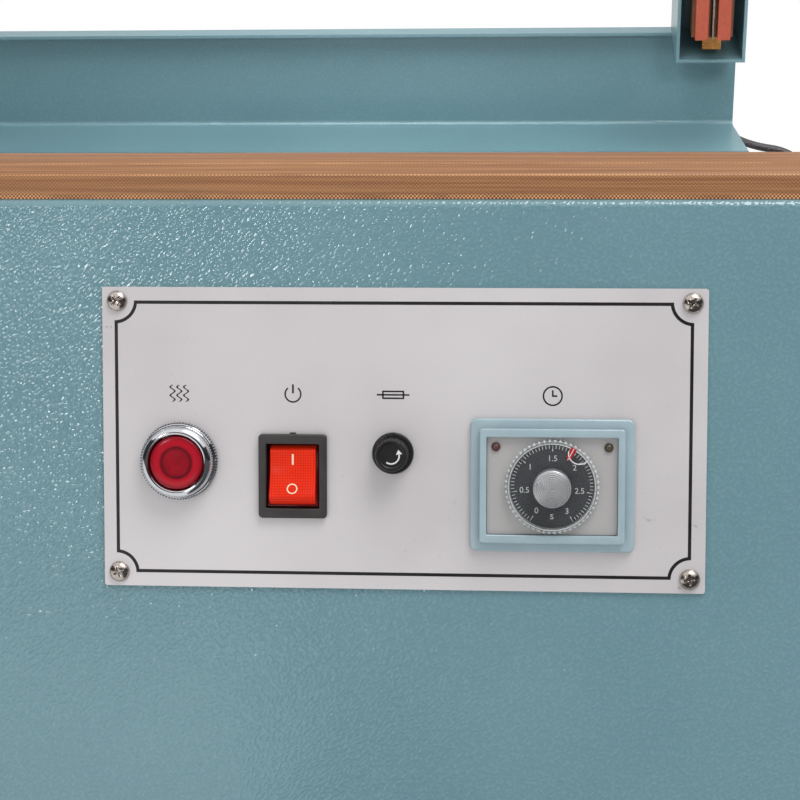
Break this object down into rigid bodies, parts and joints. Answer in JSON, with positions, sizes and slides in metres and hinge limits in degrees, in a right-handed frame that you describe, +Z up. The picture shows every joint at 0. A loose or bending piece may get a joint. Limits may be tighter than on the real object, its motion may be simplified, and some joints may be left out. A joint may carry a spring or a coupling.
{
  "type": "l bar sealer",
  "caption": "Table-top L bar sealer with a swinging L-shaped sealing arm, lift tray, film feed table with roll cradle, and a front control plate with timer.",
  "frame": {"origin": "middle of the footprint of the whole machine, on the table under the feet", "axes": "+X from the cabinet to the film cradle, +Y from the control plate to the back, +Z up"},
  "size_m": [1.155, 0.7116, 0.8596],
  "materials": {
    "teal_paint": "fine textured paint",
    "grey_paint": "satin paint",
    "galvanised": "satin",
    "stainless": "brushed",
    "bright_steel": "machined",
    "chromed": "polished",
    "plate_aluminium": "satin",
    "roller_aluminium": "turned",
    "blade_alloy": "heat-tinted",
    "bronze": "plain",
    "spring_steel": "oiled",
    "core_steel": "laminated",
    "copper_winding": "varnished",
    "coil_resin": "cast",
    "ptfe_cloth": "woven, coated",
    "silicone": "soft",
    "foot_rubber": "matt",
    "phenolic": "plain",
    "black_plastic": "satin",
    "grey_plastic": "plain",
    "red_lens": "translucent",
    "orange_paddle": "translucent",
    "blue_plastic": "translucent",
    "silver_face": "satin",
    "clear_plastic": "clear",
    "red_mark": "plain",
    "lamp_plastic": "translucent",
    "fuse_glass": "clear"
  },
  "bodies": {
    "base": {"base_cabinet": "teal_paint", "bottom_plate": "galvanised", "rubber_feet": "foot_rubber", "control_plate": "plate_aluminium", "control_plate_screws": "chromed", "button_bezel": "chromed", "button_contact_block": "black_plastic", "rocker_housing": "black_plastic", "fuse_holder": "black_plastic", "timer_frame": "blue_plastic", "timer_case": "grey_plastic", "timer_face": "silver_face", "timer_scale": "black_plastic", "timer_lamps": "lamp_plastic", "transformer_core": "core_steel", "transformer_winding": "copper_winding", "control_relay": "grey_plastic", "terminal_strip": "grey_plastic", "jaw_covers": "ptfe_cloth", "jaw_rails": "roller_aluminium", "jaw_pads": "silicone", "holding_magnet": "bright_steel", "magnet_coil": "coil_resin", "hinge_brackets": "galvanised", "hinge_bushes": "bronze", "torsion_springs": "spring_steel", "heater_lead": "foot_rubber", "base_glands": "black_plastic", "feed_table": "stainless", "table_brackets": "grey_paint", "inverter_plate": "stainless", "cradle_frame": "grey_paint", "roller_axles": "bright_steel"},
    "arm": {"arm_frame": "teal_paint", "hinge_shaft": "bright_steel", "upper_jaws": "phenolic", "seal_blades": "blade_alloy", "press_strips": "silicone", "jaw_spacers": "bright_steel", "blade_terminals": "bronze", "magnet_keeper": "bright_steel", "arm_handle": "chromed", "handle_grip": "foot_rubber", "arm_lead_gland": "black_plastic"},
    "tray": {"product_tray": "stainless", "tray_brackets": "stainless"},
    "left_knob": {"tray_knob_left": "black_plastic"},
    "right_knob": {"tray_knob_right": "black_plastic"},
    "clean_button": {"button_lens": "red_lens"},
    "power_rocker": {"rocker_paddle": "orange_paddle"},
    "fuse_carrier": {"fuse_cap": "black_plastic", "fuse_cartridge": "fuse_glass"},
    "timer_setting": {"timer_dial": "clear_plastic", "timer_knob_cap": "roller_aluminium", "timer_pointer": "red_mark"},
    "inner_roller": {"roller_inner": "roller_aluminium"},
    "outer_roller": {"roller_outer": "roller_aluminium", "roll_stops": "foot_rubber"},
    "film_guide": {"guide_roller": "roller_aluminium"}
  },
  "joints": [
    {"name": "arm_hinge", "type": "hinge", "parent": "base", "child": "arm", "pos_m": [-0.1085, 0.243, 0.287], "axis": [1, 0, 0], "range_deg": [0, 66], "stiffness_Nm_per_rad": 14, "springref_deg": -42.97, "deforming": ["heater_lead", "torsion_springs"]},
    {"name": "tray_lift", "type": "slide", "parent": "base", "child": "tray", "axis": [0, 0, 1], "range_m": [-0.03, 0.03]},
    {"name": "left_knob_turn", "type": "hinge", "parent": "tray", "child": "left_knob", "pos_m": [-0.5555, -0.069, 0.163], "axis": [-1, 0, 0], "continuous": true},
    {"name": "right_knob_turn", "type": "hinge", "parent": "tray", "child": "right_knob", "pos_m": [0.0695, -0.069, 0.163], "axis": [1, 0, 0], "continuous": true},
    {"name": "clean_push", "type": "slide", "parent": "base", "child": "clean_button", "axis": [0, 1, 0], "range_m": [0, 0.0035], "stiffness_N_per_m": 500, "springref_m": -0.002},
    {"name": "power_tip", "type": "hinge", "parent": "base", "child": "power_rocker", "pos_m": [-0.1501, -0.34, 0.1567], "axis": [1, 0, 0], "range_deg": [0, 22]},
    {"name": "fuse_turn", "type": "hinge", "parent": "base", "child": "fuse_carrier", "pos_m": [-0.1118, -0.341, 0.1658], "axis": [0, -1, 0], "range_deg": [0, 90]},
    {"name": "timer_turn", "type": "hinge", "parent": "base", "child": "timer_setting", "pos_m": [-0.0514, -0.341, 0.1542], "axis": [0, 1, 0], "range_deg": [-177, 120]},
    {"name": "inner_roller_spin", "type": "hinge", "parent": "base", "child": "inner_roller", "pos_m": [0.4455, -0.341, 0.252], "axis": [0, 1, 0], "continuous": true},
    {"name": "outer_roller_spin", "type": "hinge", "parent": "base", "child": "outer_roller", "pos_m": [0.5415, -0.341, 0.252], "axis": [0, 1, 0], "continuous": true},
    {"name": "film_guide_spin", "type": "hinge", "parent": "base", "child": "film_guide", "pos_m": [0.3875, -0.341, 0.29], "axis": [0, 1, 0], "continuous": true}
  ]
}
